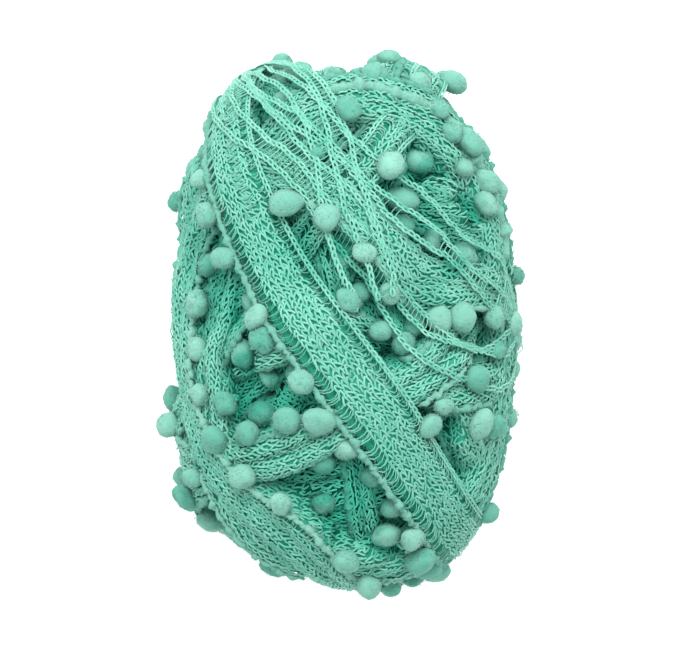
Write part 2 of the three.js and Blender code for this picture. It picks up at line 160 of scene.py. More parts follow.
def barrelRadius(direction):
    beside = direction[..., 0] / ballForm["halfWidth"]
    around = np.hypot(beside, direction[..., 2] / ballForm["halfDepth"])
    end = np.abs(direction[..., 1]) / ballForm["halfLength"]
    power = ballForm["squareness"]
    return (around**power + end**power) ** (-1 / power)


def directionAt(latitude, longitude):
    latitude, longitude = np.broadcast_arrays(latitude, longitude)
    return np.stack(
        [
            np.cos(latitude) * np.sin(longitude),
            np.sin(latitude),
            np.cos(latitude) * np.cos(longitude),
        ],
        axis=-1,
    )


def gridDirections(rows, columns):
    latitude = np.pi * (np.arange(rows + 1) / rows - 0.5)
    longitude = 2 * np.pi * np.arange(columns) / columns
    return directionAt(latitude[:, None], longitude[None, :])


def readMap(grid, direction):
    rows = grid.shape[0] - 1
    columns = grid.shape[1]
    row = (np.arcsin(np.clip(direction[..., 1], -1, 1)) / np.pi + 0.5) * rows
    turned = np.arctan2(direction[..., 0], direction[..., 2]) / (2 * np.pi)
    column = (turned - np.floor(turned)) * columns
    low = np.minimum(np.floor(row).astype(int), rows - 1)
    left = np.floor(column).astype(int) % columns
    right = (left + 1) % columns
    up = row - low
    over = column - np.floor(column)
    lower = grid[low, left] * (1 - over) + grid[low, right] * over
    upper = grid[low + 1, left] * (1 - over) + grid[low + 1, right] * over
    return lower * (1 - up) + upper * up


def unit(vectors):
    return vectors / np.linalg.norm(vectors, axis=-1, keepdims=True)


# Directions, turned round where they point away from a second direction.
def facing(directions, towards):
    away = np.sum(directions * towards, axis=-1) < 0
    return np.where(away[..., None], -directions, directions)


# One turn of tape: a ring round a slanting axis, opened and swayed, that rests on what is below it.
class Turn:
    def __init__(self, row, seed):
        self.name, across, lean, self.cone, self.sway, self.swayAt, self.width = row[:7]
        lay, self.edges, self.cloth = row[7:]
        self.pocketed = lay != "net" and self.name not in bridgingTurns
        self.thickness = lays[lay]["thickness"]
        self.crown = lays[lay]["crown"]
        across = math.radians(across)
        lean = math.radians(lean)
        self.axis = np.array(
            [math.cos(lean) * math.cos(across), math.cos(lean) * math.sin(across), math.sin(lean)]
        )
        reference = np.array([0.0, 1.0, 0.0]) if abs(self.axis[1]) < 0.9 else np.array([1.0, 0.0, 0.0])
        self.sideways = unit(np.cross(reference, self.axis))
        self.upwards = np.cross(self.axis, self.sideways)
        self.phases = np.random.default_rng(seed).uniform(0, 2 * np.pi, 8)
        stations = 2 * np.pi * np.arange(ballForm["stations"]) / ballForm["stations"]
        small = 0.02
        one, other = (self.direction(stations, tilt) for tilt in (-small, small))
        ends = [each * barrelRadius(each)[..., None] for each in (one, other)]
        self.scales = np.linalg.norm(ends[0] - ends[1], axis=-1) / (2 * small)

    def opening(self, angle):
        swing = np.cos(2 * (angle - math.radians(self.swayAt)))
        return np.radians(self.cone + self.sway * swing)

    def direction(self, angle, tilt):
        opened = self.opening(angle) + tilt
        beside = (np.sin(opened) * np.cos(angle))[..., None] * self.sideways
        above = (np.sin(opened) * np.sin(angle))[..., None] * self.upwards
        return np.cos(opened)[..., None] * self.axis + beside + above

    def scale(self, angle):
        count = len(self.scales)
        station = (angle / (2 * np.pi) * count) % count
        low = np.floor(station).astype(int) % count
        share = station - np.floor(station)
        return self.scales[low] * (1 - share) + self.scales[(low + 1) % count] * share

    def place(self, angle, out):
        return self.direction(angle, out / self.scale(angle))

    def locate(self, direction):
        angle = np.arctan2(direction @ self.upwards, direction @ self.sideways)
        opened = np.arccos(np.clip(direction @ self.axis, -1, 1))
        return angle, (opened - self.opening(angle)) * self.scale(angle)

    def settle(self, heights, alongShare):
        count = ballForm["stations"]
        columns = ballForm["acrossStations"]
        angle = (2 * np.pi * np.arange(count) / count)[:, None]
        out = ((np.arange(columns) / (columns - 1) - 0.5) * self.width)[None, :]
        angle, out = np.broadcast_arrays(angle, out)
        below = readMap(heights, self.place(angle, out))
        sag = (2 * np.pi * ballForm["curve"] / count) ** 2 / (2 * ballForm["curve"])
        self.lie = below.copy()
        for _ in range(ballForm["rounds"]):
            lengthwise = (np.roll(self.lie, 1, axis=0) + np.roll(self.lie, -1, axis=0)) / 2
            padded = np.pad(self.lie, ((0, 0), (1, 1)), mode="edge")
            beside = (padded[:, :-2] + padded[:, 2:]) / 2
            self.lie = np.maximum(below, beside * (1 - alongShare) + lengthwise * alongShare - sag)

    def top(self, angle, out, crowned=True):
        count = ballForm["stations"]
        columns = ballForm["acrossStations"]
        station = (angle / (2 * np.pi) * count) % count
        before = np.floor(station).astype(int) % count
        after = (before + 1) % count
        column = np.clip((out / self.width + 0.5) * (columns - 1), 0, columns - 1.001)
        left = np.floor(column).astype(int)
        share = column - left
        near = self.lie[before, left] * (1 - share) + self.lie[before, left + 1] * share
        far = self.lie[after, left] * (1 - share) + self.lie[after, left + 1] * share
        step = station - np.floor(station)
        rounded = self.crown * (1 - np.minimum(1, np.abs(2 * out) / self.width) ** 2)
        if not crowned:
            rounded = ballForm["ropeCrown"] * self.crown
        return near * (1 - step) + far * step + self.thickness + rounded

    # A slow change along the turn, between about -1 and 1.
    def drift(self, angle, first, waves=(2, 3, 5)):
        total = sum(np.sin(wave * angle + self.phases[(first + k) % 8]) for k, wave in enumerate(waves))
        return total / len(waves)

    # A point of the turn's upper side, "lift" millimetres over it.
    def point(self, angle, out, lift=0.0, crowned=True):
        direction = self.place(angle, out)
        raised = raisedBy(direction, self.top(angle, out, crowned))
        if self.pocketed:
            raised = raised - pocketDepth(direction)
        radius = barrelRadius(direction) + raised + lift
        return direction * radius[..., None]

    # A point with the directions along the tape, across it and up from it.
    def framed(self, angle, out, lift=0.0):
        small = 0.4
        speed = self.speed(angle)
        here = self.point(angle, out, lift)
        ends = [self.point(angle + step, out, lift) for step in (small / speed, -small / speed)]
        sides = [self.point(angle, out + step, lift) for step in (small, -small)]
        along = unit(ends[0] - ends[1])
        across = unit(sides[0] - sides[1])
        up = facing(unit(np.cross(along, across)), here)
        beside = unit(np.cross(up, along))
        across = beside * np.sign(np.sum(beside * across, axis=-1))[..., None]
        return here, along, across, up

    # Millimetres along the middle line for each radian.
    def speed(self, angle):
        small = 0.01
        ends = [self.direction(angle + step, 0) for step in (-small, small)]
        ends = [each * barrelRadius(each)[..., None] for each in ends]
        return np.linalg.norm(ends[0] - ends[1], axis=-1) / (2 * small)

    # Angles at an even pitch along the tape, all the way round.
    def paces(self, pitch, out=0.0):
        fine = np.linspace(0, 2 * np.pi, 1441)
        spots = self.place(fine, np.full_like(fine, out))
        spots = spots * barrelRadius(spots)[..., None]
        lengths = np.concatenate([[0], np.cumsum(np.linalg.norm(np.diff(spots, axis=0), axis=-1))])
        count = max(3, int(round(lengths[-1] / pitch)))
        return np.interp(np.arange(count) * lengths[-1] / count, lengths, fine)


# The relief on the barrel for a height of the wound turns, limited upwards and downwards.
def raisedBy(direction, height):
    over = ballForm["gain"] * (height - readMap(meanHeights, direction))
    limit = np.where(over > 0, ballForm["rise"], ballForm["dip"])
    return limit * np.tanh(over / limit)


# Lays each turn over the ones before it, and gives the heights of the whole ball.
def windBall(turns):
    grid = gridDirections(ballForm["mapRows"], ballForm["mapColumns"])
    heights = np.zeros(grid.shape[:2])
    for turn in turns:
        turn.settle(heights, ballForm["alongShare"])
        angle, out = turn.locate(grid)
        laid = np.maximum(heights, turn.top(angle, out))
        heights = np.where(np.abs(out) > turn.width / 2, heights, laid)
    return heights


# The mean height over a wide patch round each place.
def evenedOut(heights):
    rows = ballForm["meanRows"]
    samples = []
    for row in range(rows * 2 + 1):
        latitude = math.pi * (row / (rows * 2) - 0.5)
        around = max(1, round(ballForm["meanColumns"] * 2 * math.cos(latitude)))
        samples.append(directionAt(np.full(around, latitude), 2 * np.pi * np.arange(around) / around))
    samples = np.concatenate(samples)
    values = readMap(heights, samples)
    grid = gridDirections(rows, ballForm["meanColumns"])
    apart = np.arccos(np.clip(grid @ samples.T, -1, 1))
    weights = np.exp(-((apart / math.radians(ballForm["evenOver"])) ** 2) / 2)
    return (weights * values).sum(axis=-1) / weights.sum(axis=-1)


turns = [Turn(row, seed) for seed, row in enumerate(turnRows)]
nets = [Turn(row, 50 + seed) for seed, row in enumerate(netRows)]
heights = windBall(turns)
meanHeights = evenedOut(heights)
for net in nets:
    net.settle(heights, ballForm["netShare"])
print("the ball is wound:", len(turns), "turns and", len(nets), "nets")


# Whether a turn that is wound over this one hides a direction.
def isCovered(turn, direction, margin):
    covered = np.zeros(direction.shape[:-1], bool)
    if turn in nets:
        return covered
    for upper in turns[turns.index(turn) + 1 :]:
        covered |= np.abs(upper.locate(direction)[1]) < upper.width / 2 - margin
    return covered


# The surface of the outermost turns.
def surfaceRadius(direction):
    raised = raisedBy(direction, np.zeros(direction.shape[:-1]))
    pocketed = np.ones(direction.shape[:-1], bool)
    for turn in turns:
        angle, out = turn.locate(direction)
        mine = np.abs(out) < turn.width / 2
        raised = np.where(mine, raisedBy(direction, turn.top(angle, out)), raised)
        pocketed = np.where(mine, turn.pocketed, pocketed)
    return barrelRadius(direction) + raised - np.where(pocketed, pocketDepth(direction), 0)


# Meshes from arrays of points in millimetres.
def toMetres(points):
    moved = points + np.array([0, 0, ballForm["restHeight"]])
    moved[..., 2] = np.maximum(moved[..., 2], ballForm["floorGap"])
    return moved / 1000


# The points and triangles of a plain round shape, for the ball and the pompoms to be shaped from.
def roundShape(subdivisions):
    shape = bmesh.new()
    bmesh.ops.create_icosphere(shape, subdivisions=subdivisions, radius=1.0)
    points = np.array([vertex.co[:] for vertex in shape.verts])
    faces = np.array([[vertex.index for vertex in face.verts] for face in shape.faces])
    shape.free()
    return points, faces


def makePiece(name, points, faces, material, tint):
    mesh = bpy.data.meshes.new(name)
    mesh.vertices.add(len(points))
    mesh.vertices.foreach_set("co", toMetres(points).astype(np.float32).ravel())
    mesh.loops.add(faces.size)
    mesh.loops.foreach_set("vertex_index", faces.astype(np.int32).ravel())
    mesh.polygons.add(len(faces))
    mesh.polygons.foreach_set("loop_start", np.arange(0, faces.size, 3, dtype=np.int32))
    mesh.polygons.foreach_set("use_smooth", np.ones(len(faces), bool))
    shades = mesh.attributes.new("tint", "FLOAT", "POINT")
    shades.data.foreach_set("value", tint.astype(np.float32))
    mesh.update(calc_edges=True)
    mesh.materials.append(material)
    piece = bpy.data.objects.new(name, mesh)
    bpy.context.scene.collection.objects.link(piece)
    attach(piece, "root")
    triangleCounts[name] = len(faces)
    return piece


# The directions beside and above each of many lines, where the ups are roughly above them.
def lineFrame(lines, ups):
    along = unit(np.gradient(lines, axis=1))
    beside = unit(np.cross(along, ups))
    return beside, np.cross(beside, along)


# Faces from ring to ring, between the corners in starts and those in ends.
def sideFaces(steps, ringSize, starts, ends):
    faces = []
    for here in ringSize * np.arange(steps - 1):
        there = here + ringSize
        faces.append(np.stack([here + starts, here + ends, there + starts], axis=-1))
        faces.append(np.stack([here + ends, there + ends, there + starts], axis=-1))
    return faces


# Painted shade: the tint falls from 1 to 0 over this many millimetres of height, and over the depth of
# a pocket, so deep places and pockets are painted darker.
paintedShade = {
    "darkBelow": 3.2,
    "darkOver": 5.6,
    "pocketOver": 6.5,
}

# The cut of a thread, as shares of its radius.
threadForm = {"side": 1.05, "top": 0.95, "drop": 0.35}

triangleCounts = {}
stitchPlaces = []
rng = np.random.default_rng(11)


# Gathers many small shapes into one piece.
class Yarn:
    def __init__(self):
        self.points = []
        self.faces = []
        self.tints = []
        self.count = 0

    def add(self, points, faces, tint):
        self.points.append(points)
        self.faces.append(faces + self.count)
        self.tints.append(np.broadcast_to(tint, len(points)))
        self.count += len(points)

    # Many like shapes with the same faces: points is (shapes, corners, 3).
    def addAlike(self, points, pattern, tint):
        shapes, corners = points.shape[:2]
        starts = corners * np.arange(shapes)[:, None, None]
        tint = np.repeat(np.broadcast_to(tint, shapes), corners)
        self.add(points.reshape(-1, 3), (pattern[None] + starts).reshape(-1, 3), tint)

    # Closed tubes along many lines at once: lines and ups are (tubes, steps, 3).
    def addTubes(self, lines, ups, radius, tint, sides=3):
        tubes, steps = lines.shape[:2]
        if tubes == 0:
            return
        side, up = lineFrame(lines, ups)
        turned = 2 * np.pi * np.arange(sides) / sides
        thick = np.broadcast_to(radius, (tubes, steps))[..., None, None]
        ring = np.cos(turned)[:, None] * up[:, :, None, :]
        ring = ring + np.sin(turned)[:, None] * side[:, :, None, :]
        points = lines[:, :, None, :] + ring * thick
        corner = np.arange(sides)
        faces = sideFaces(steps, sides, corner, (corner + 1) % sides)
        last = (steps - 1) * sides
        fan = np.arange(1, sides - 1)
        faces.append(np.stack([fan * 0, fan + 1, fan], axis=-1))
        faces.append(np.stack([fan * 0 + last, fan + last, fan + 1 + last], axis=-1))
        self.addAlike(points.reshape(tubes, -1, 3), np.concatenate(faces), tint)

    # Threads that lie on the cloth, open along their hidden underside.
    def addThreads(self, lines, ups, radius, tint):
        tubes, steps = lines.shape[:2]
        if tubes == 0:
            return
        side, up = lineFrame(lines, ups)
        drop = threadForm["drop"] * up
        left = side * threadForm["side"] - drop
        right = -threadForm["side"] * side - drop
        ring = np.stack([left, threadForm["top"] * up, right], axis=2)
        points = lines[:, :, None, :] + ring * radius
        faces = sideFaces(steps, 3, np.arange(2), np.arange(2) + 1)
        self.addAlike(points.reshape(tubes, -1, 3), np.concatenate(faces), tint)

    # Fine spikes, for the fuzz of the pile.
    def addSpikes(self, roots, tips, radius, tint):
        along = unit(tips - roots)
        side = unit(np.cross(along, [0.3, 0.5, 0.81]))
        other = np.cross(along, side)
        turned = 2 * np.pi * np.arange(3) / 3
        ring = np.cos(turned)[:, None] * side[:, None, :] + np.sin(turned)[:, None] * other[:, None, :]
        points = np.concatenate([roots[:, None, :] + radius * ring, tips[:, None, :]], axis=1)
        self.addAlike(points, np.array([[0, 1, 3], [1, 2, 3], [2, 0, 3]]), tint)

    # What lies deep between the turns and in the pockets is tinted darker: painted shade, carried in
    # the tint attribute.
    def make(self, name, material):
        points = np.concatenate(self.points)
        faces = np.concatenate(self.faces)
        direction = unit(points)
        raised = np.linalg.norm(points, axis=-1) - barrelRadius(direction)
        high = (raised + paintedShade["darkBelow"]) / paintedShade["darkOver"]
        high = np.clip(high - pocketDepth(direction) / paintedShade["pocketOver"], 0, 1)
        return makePiece(name, points, faces, material, np.concatenate(self.tints) * high)


# The materials. The tape is a lustrous thread, the pompoms a matt pile in a paler shade.
def setInputs(node, values):
    for title, value in values.items():
        node.inputs[title].default_value = value


# A shader node group with its inputs by name and value, and one output.
def startGroup(name, inputs, output, outputKind):
    group = bpy.data.node_groups.new(name, "ShaderNodeTree")
    for title, value in inputs.items():
        kind = "NodeSocketColor" if isinstance(value, tuple) else "NodeSocketFloat"
        made = group.interface.new_socket(name=title, in_out="INPUT", socket_type=kind)
        made.default_value = value
    group.interface.new_socket(name=output, in_out="OUTPUT", socket_type=outputKind)
    return group


def addNoise(group, start, sizeInput, detail):
    place = group.nodes.new("ShaderNodeTexCoord")
    noise = group.nodes.new("ShaderNodeTexNoise")
    noise.inputs["Detail"].default_value = detail
    group.links.new(place.outputs["Object"], noise.inputs["Vector"])
    group.links.new(start.outputs[sizeInput], noise.inputs["Scale"])
    return noise


# From the deep to the pale colour, by soft patches of uneven colour and by the tint that each piece
# carries: its own tone, times the painted shade of deep places and pockets.
def makeDyeAndShadeGroup():
    colors = {"Deep": (0.05, 0.35, 0.24, 1), "Pale": (0.3, 0.75, 0.55, 1)}
    sizes = {"Patch Size": 120.0, "Tint Share": 0.5}
    group = startGroup("uneven dye", {**colors, **sizes}, "Color", "NodeSocketColor")
    links = group.links
    start = group.nodes.new("NodeGroupInput")
    end = group.nodes.new("NodeGroupOutput")
    patches = addNoise(group, start, "Patch Size", 3.0)
    tint = group.nodes.new("ShaderNodeAttribute")
    tint.attribute_name = "tint"
    share = group.nodes.new("ShaderNodeMix")
    blend = group.nodes.new("ShaderNodeMix")
    blend.data_type = "RGBA"
    links.new(start.outputs["Tint Share"], share.inputs["Factor"])
    links.new(patches.outputs["Fac"], share.inputs["A"])
    links.new(tint.outputs["Fac"], share.inputs["B"])
    links.new(share.outputs["Result"], blend.inputs["Factor"])
    links.new(start.outputs["Deep"], blend.inputs["A"])
    links.new(start.outputs["Pale"], blend.inputs["B"])
    links.new(blend.outputs["Result"], end.inputs["Color"])
    return group


# The height of fine fibres on soft lumps.
def makeFibreGroup():
    sizes = {"Fibre Size": 3000.0, "Lump Size": 600.0, "Lump Share": 0.5}
    group = startGroup("fibre surface", sizes, "Height", "NodeSocketFloat")
    links = group.links
    start = group.nodes.new("NodeGroupInput")
    end = group.nodes.new("NodeGroupOutput")
    fibres = addNoise(group, start, "Fibre Size", 2.0)
    lumps = addNoise(group, start, "Lump Size", 2.0)
    share = group.nodes.new("ShaderNodeMix")
    links.new(start.outputs["Lump Share"], share.inputs["Factor"])
    links.new(fibres.outputs["Fac"], share.inputs["A"])
    links.new(lumps.outputs["Fac"], share.inputs["B"])
    links.new(share.outputs["Result"], end.inputs["Height"])
    return group


dyeAndShadeGroup = makeDyeAndShadeGroup()
fibreGroup = makeFibreGroup()

threadFinish = {
    "dyeAndShade": {
        "Deep": (0.0, 0.29, 0.19, 1),
        "Pale": (0.24, 0.505, 0.41, 1),
        "Patch Size": 90.0,
        "Tint Share": 0.66,
    },
    "fibre": {"Fibre Size": 2600.0, "Lump Size": 900.0, "Lump Share": 0.5},
    "bump": {"Strength": 0.5, "Distance": 0.00025},
    "shader": {
        "Roughness": 0.38,
        "Specular IOR Level": 0.4,
        "Specular Tint": (0.3, 0.9, 0.75, 1),
    },
}

# The inner turns are the same tape, coloured darker than the thread: painted shade between the
# stitches.
innerFinish = {
    "dyeAndShade": {
        "Deep": (0.0, 0.05, 0.035, 1),
        "Pale": (0.03, 0.31, 0.205, 1),
        "Patch Size": 520.0,
        "Tint Share": 0.85,
    },
    "fibre": {"Fibre Size": 1500.0, "Lump Size": 500.0, "Lump Share": 0.4},
    "bump": {"Strength": 0.8, "Distance": 0.0008},
    "shader": {
        "Roughness": 0.7,
        "Specular IOR Level": 0.1,
        "Specular Tint": (0.2, 1.0, 0.75, 1),
    },
}

pileFinish = {
    "dyeAndShade": {
        "Deep": (0.0, 0.21, 0.145, 1),
        "Pale": (0.265, 0.5, 0.415, 1),
        "Patch Size": 420.0,
        "Tint Share": 0.72,
    },
    "fibre": {"Fibre Size": 2200.0, "Lump Size": 700.0, "Lump Share": 0.45},
    "bump": {"Strength": 0.9, "Distance": 0.0006},
    "shader": {
        "Roughness": 0.9,
        "Sheen Weight": 0.08,
        "Sheen Roughness": 0.5,
        "Specular IOR Level": 0.15,
        "Specular Tint": (0.4, 1.0, 0.85, 1),
    },
}


def makeFinish(name, finish):
    material = bpy.data.materials.new(name)
    material.use_nodes = True
    nodes = material.node_tree.nodes
    links = material.node_tree.links
    shader = nodes["Principled BSDF"]
    dyeAndShade = nodes.new("ShaderNodeGroup")
    dyeAndShade.node_tree = dyeAndShadeGroup
    fibre = nodes.new("ShaderNodeGroup")
    fibre.node_tree = fibreGroup
    bump = nodes.new("ShaderNodeBump")
    setInputs(dyeAndShade, finish["dyeAndShade"])
    setInputs(fibre, finish["fibre"])
    setInputs(bump, finish["bump"])
    setInputs(shader, finish["shader"])
    links.new(dyeAndShade.outputs["Color"], shader.inputs["Base Color"])
    links.new(fibre.outputs["Height"], bump.inputs["Height"])
    links.new(bump.outputs["Normal"], shader.inputs["Normal"])
    return material


threadMaterial = makeFinish("tape_thread", threadFinish)
innerMaterial = makeFinish("inner_tape", innerFinish)
pileMaterial = makeFinish("pompom_pile", pileFinish)
print("the materials are made")

# How the tape's cloth shows, across the tape from its pompom edge, in millimetres of the flat tape.
# Wales are columns of knitted stitches: the first, the last and their spacing. Rungs are the open
# ladder between two columns, and a window is a stretch where the knit has run open into a ladder.
# A gathered tape is drawn together into ropes, with the wales lengthwise round each rope.
cloths = {
    "broad": {
        "tape": 18.0,
        "wales": (5.0, 14.3, 1.72),
        "rungs": [(0.6, 4.7), (14.5, 16.9)],
        "windows": [(9.3, 13.4)],
        "windowAt": (-0.42, 0.84, 0.34),
        "windowReach": 0.45,
        "chains": [17.3],
        "pleats": 0,
        "pleatDepth": 0.0,
    },
    "dense": {
        "tape": 16.0,
        "wales": (3.2, 15.4, 1.72),
        "rungs": [(0.6, 3.0)],
        "windows": [],
        "chains": [],
        "pleats": 2,
        "pleatDepth": 1.2,
    },
    "ladder": {
        "tape": 13.0,
        "wales": (8.2, 9.9, 1.7),
        "rungs": [(0.8, 3.6), (4.4, 7.8), (10.3, 12.4)],
        "windows": [],
        "chains": [4.0, 12.7],
        "pleats": 0,
        "pleatDepth": 0.0,
    },
}

ropeForm = {
    "width": 4.7,
    "wale": 1.72,
    "swell": 0.16,
    "twist": 2.6,
    "round": 1.85,  # radians either way from the top of the rope
    "deepen": 1.15,
    "wander": 0.25,  # of the radius
    "shown": 0.4,  # millimetres under a covering turn's edge
    "gap": 1.2,
    "gapFrom": 0.6,
}

stitch = {
    "course": 1.55,  # millimetres from one course to the next
    "radius": 0.27,
    "legAcross": [0.05, 0.34, 0.42],  # of the wale spacing
    "legAlong": [-0.62, 0.15, 0.80],  # of the course
    "legLift": [0.0, 0.36, -0.05],  # millimetres
    "sizeChange": 0.15,
    "shift": 0.16,
    "twist": 0.24,
    "wander": 0.5,
    "jitter": 0.08,
    "shown": 0.6,  # millimetres under a covering turn's edge
    "width": (1.1, 2.4),  # the least and the most that a wale is drawn together or apart
}


# Where a place of the flat tape lies on a turn: its distance from the middle line, and its lift.
def folded(turn, angle, tapePlace):
    cloth = cloths[turn.cloth]
    edge = turn.edges[0] if turn.edges else 1
    share = tapePlace / cloth["tape"]
    inside = 4 * share * (1 - share)
    wander = stitch["wander"] * inside * turn.drift(angle, 6, (9, 14, 23))
    out = edge * turn.width * (0.5 - share) + wander
    if cloth["pleats"] == 0:
        return out, np.zeros_like(out)
    phase = 2.2 * turn.drift(angle, 0) + turn.phases[3]
    depth = cloth["pleatDepth"] * (0.8 + 0.35 * turn.drift(angle, 4))
    wave = 2 * np.pi * cloth["pleats"] * share + phase
    return out + 0.25 * cloth["pleatDepth"] * np.sin(wave), depth * (np.cos(wave) - 1) / 2


# A place of the cloth, the directions along it, across it and up from it, and how far it is stretched.
def clothFrame(turn, angle, tapePlace, shift=0.0, lift=0.0):
    def spot(angle, tapePlace):
        out, fold = folded(turn, angle, tapePlace)
        return turn.point(angle, out + shift, fold + lift)

    small = 0.3
    step = small / turn.speed(angle)
    here = spot(angle, tapePlace)
    along = unit(spot(angle + step, tapePlace) - spot(angle - step, tapePlace))
    reach = spot(angle, tapePlace + small) - spot(angle, tapePlace - small)
    stretch = np.linalg.norm(reach, axis=-1) / (2 * small)
    up = facing(unit(np.cross(along, reach)), here)
    return here, along, np.cross(up, along), up, stretch


# Whether the windows of a broad turn are open here.
def isOpen(turn, angle):
    cloth = cloths[turn.cloth]
    towards = unit(np.array(cloth["windowAt"]))
    return turn.place(angle, np.zeros_like(angle)) @ towards > 1 - cloth["windowReach"] ** 2 / 2


# The angles of the stitches of one wale. Every second wale is half a course on.
def courseAngles(turn, wale, out):
    angle = turn.paces(stitch["course"], out)
    jitter = rng.normal(0, stitch["jitter"], len(angle))
    return angle + ((wale % 2) * 0.5 + jitter) * (angle[1] - angle[0])


def addStitches(yarn, turn):
    cloth = cloths[turn.cloth]
    first, last, spacing = cloth["wales"]
    count = int(round((last - first) / spacing)) + 1
    for wale in range(count):
        tapePlace = first + wale * spacing
        outHere = folded(turn, np.zeros(1), np.full(1, tapePlace))[0][0]
        angle = courseAngles(turn, wale, outHere)
        out = folded(turn, angle, np.full_like(angle, tapePlace))[0]
        shown = ~isCovered(turn, turn.place(angle, out), stitch["shown"])
        for start, end in cloth["windows"]:
            if start < tapePlace < end:
                shown &= ~isOpen(turn, angle)
        angle = angle[shown]
        if len(angle) == 0:
            continue
        shift = rng.normal(0, stitch["shift"], len(angle))
        lift = rng.normal(0, stitch["shift"], len(angle))
        place = np.full_like(angle, tapePlace)
        here, along, across, up, stretch = clothFrame(turn, angle, place, shift, lift)
        wide = np.clip(spacing * (0.3 + 0.7 * stretch), *stitch["width"])
        addLegs(yarn, here, along, across, up, wide)


def ropeCount(turn):
    return max(1, round(turn.width / ropeForm["width"]))


# The middle line of one rope of a gathered turn, and its radius there.
def ropeLine(turn, angle, rope):
    count = ropeCount(turn)
    radius = turn.width / count / 2 * (1 + ropeForm["swell"] * turn.drift(angle, rope + 2, (5, 9, 13)))
    wander = ropeForm["wander"] * radius * turn.drift(angle, rope + 5, (4, 7, 11))
    return turn.width * ((rope + 0.5) / count - 0.5) + wander, radius


def addRopes(yarn, turn):
    for rope in range(ropeCount(turn)):
        wales = int(round(np.pi * turn.width / ropeCount(turn) / ropeForm["wale"]))
        for wale in range(wales):
            angle = courseAngles(turn, wale, float(ropeLine(turn, np.zeros(1), rope)[0][0]))
            twist = ropeForm["twist"] * turn.drift(angle, rope, (1, 2, 4)) + 2 * np.pi * wale / wales
            turned = (twist + np.pi) % (2 * np.pi) - np.pi
            middle, radius = ropeLine(turn, angle, rope)
            shown = np.abs(turned) < ropeForm["round"]
            place = turn.place(angle, middle + radius * np.sin(turned))
            shown &= ~isCovered(turn, place, ropeForm["shown"])
            angle, turned = angle[shown], turned[shown]
            if len(angle) == 0:
                continue
            shift = rng.normal(0, stitch["shift"], len(angle))

            def spot(angle, turned, share=1.0):
                middle, radius = ropeLine(turn, angle, rope)
                out = middle + share * radius * np.sin(turned)
                lift = ropeForm["deepen"] * radius * (share * np.cos(turned) - 1)
                return turn.point(angle, out, lift + shift, False)

            here = spot(angle, turned)
            step = 0.3 / turn.speed(angle)
            along = unit(spot(angle + step, turned) - spot(angle - step, turned))
            reach = spot(angle, turned + 0.1) - spot(angle, turned - 0.1)
            up = facing(unit(np.cross(along, reach)), here - spot(angle, turned, 0.0))
            addLegs(yarn, here, along, np.cross(up, along), up, ropeForm["wale"])


# One leg of each stitch: x across, y along and z up from its place.
def legLines(here, along, across, up, x, y, z, size=1.0):
    leg = x[..., None] * across[:, None, :] + y[:, None] * along[:, None, :]
    return here[:, None, :] + (leg + z[:, None] * up[:, None, :]) * size


# The two legs of each stitch of a wale, from its place and its own three directions.
def addLegs(yarn, here, along, across, up, wide):
    stitchPlaces.append(here)
    turned = rng.normal(0, stitch["twist"], len(here))[:, None]
    along, across = (
        np.cos(turned) * along + np.sin(turned) * across,
        np.cos(turned) * across - np.sin(turned) * along,
    )
    size = 1 + rng.normal(0, stitch["sizeChange"], (len(here), 1, 1))
    wide = np.broadcast_to(wide, len(here))[:, None]
    for side in (-1, 1):
        x = side * np.array(stitch["legAcross"]) * wide
        y = np.array(stitch["legAlong"]) * stitch["course"]
        z = np.array(stitch["legLift"]) + 0.1
        lines = legLines(here, along, across, up, x, y, z, size)
        ups = np.broadcast_to(up[:, None, :], lines.shape)
        yarn.addThreads(lines, ups, stitch["radius"], rng.uniform(0.4, 0.9, len(here)))


rung = {
    "pitch": 1.0,
    "radius": 0.2,
    "steps": 4,
    "bow": 0.8,
    "lift": 0.35,
    "bunch": 0.5,  # of the pitch, how far rungs draw together in groups
    "group": 4.3,  # rungs
    "lean": 0.5,
    "jitter": 0.2,
    "bowChange": 0.4,
    "liftChange": 0.2,
    "endLift": 0.15,
    "shown": 0.3,
}


def layRungs(yarn, turn, start, end, inWindow):
    middle = folded(turn, np.zeros(1), np.full(1, (start + end) / 2))[0][0]
    angle = turn.paces(rung["pitch"], middle)
    count = np.arange(len(angle))
    bunch = rung["bunch"] * np.sin(2 * np.pi * count / rung["group"] + 3 * turn.drift(angle, 1))
    jitter = rng.normal(0, rung["jitter"], len(angle))
    angle = angle + (bunch + jitter) * rung["pitch"] / turn.speed(angle)
    share = np.linspace(0, 1, rung["steps"])
    arch = 1 - (2 * share - 1) ** 2
    bow = rung["bow"] * (1 + rung["bowChange"] * rng.normal(0, 1, len(angle)))
    lean = rung["lean"] * rng.normal(0, 1, len(angle)) - bunch * rung["pitch"]
    moved = bow[:, None] * arch + lean[:, None] * (share - 0.5)
    angles = angle[:, None] + moved / turn.speed(angle)[:, None]
    tapePlace = np.broadcast_to(start + (end - start) * share, angles.shape)
    out, lift = folded(turn, angles, tapePlace)
    shown = ~isCovered(turn, turn.place(angle, out[:, 1]), rung["shown"])
    if inWindow:
        shown &= isOpen(turn, angle)
    rise = rung["lift"] + rung["liftChange"] * rng.normal(0, 1, len(angle))
    lift = lift + rise[:, None] * arch + rung["endLift"]
    lines = turn.point(angles, out, lift)[shown]
    yarn.addTubes(lines, unit(lines), rung["radius"], rng.uniform(0.2, 1, shown.sum()))


def addRungs(yarn, turn):
    cloth = cloths[turn.cloth]
    for start, end in cloth["rungs"]:
        layRungs(yarn, turn, start, end, False)
    for start, end in cloth["windows"]:
        layRungs(yarn, turn, start, end, True)


chain = {
    "pitch": 1.7,
    "radius": 0.26,
    "across": 1.25,
    "lift": 0.45,
    "legAcross": [0.05, 0.36, 0.40, 0.12],
    "legAlong": [-0.75, -0.2, 0.35, 0.75],
    "legLift": [0.0, 0.3, 0.3, 0.0],
    "shown": 0.3,
}


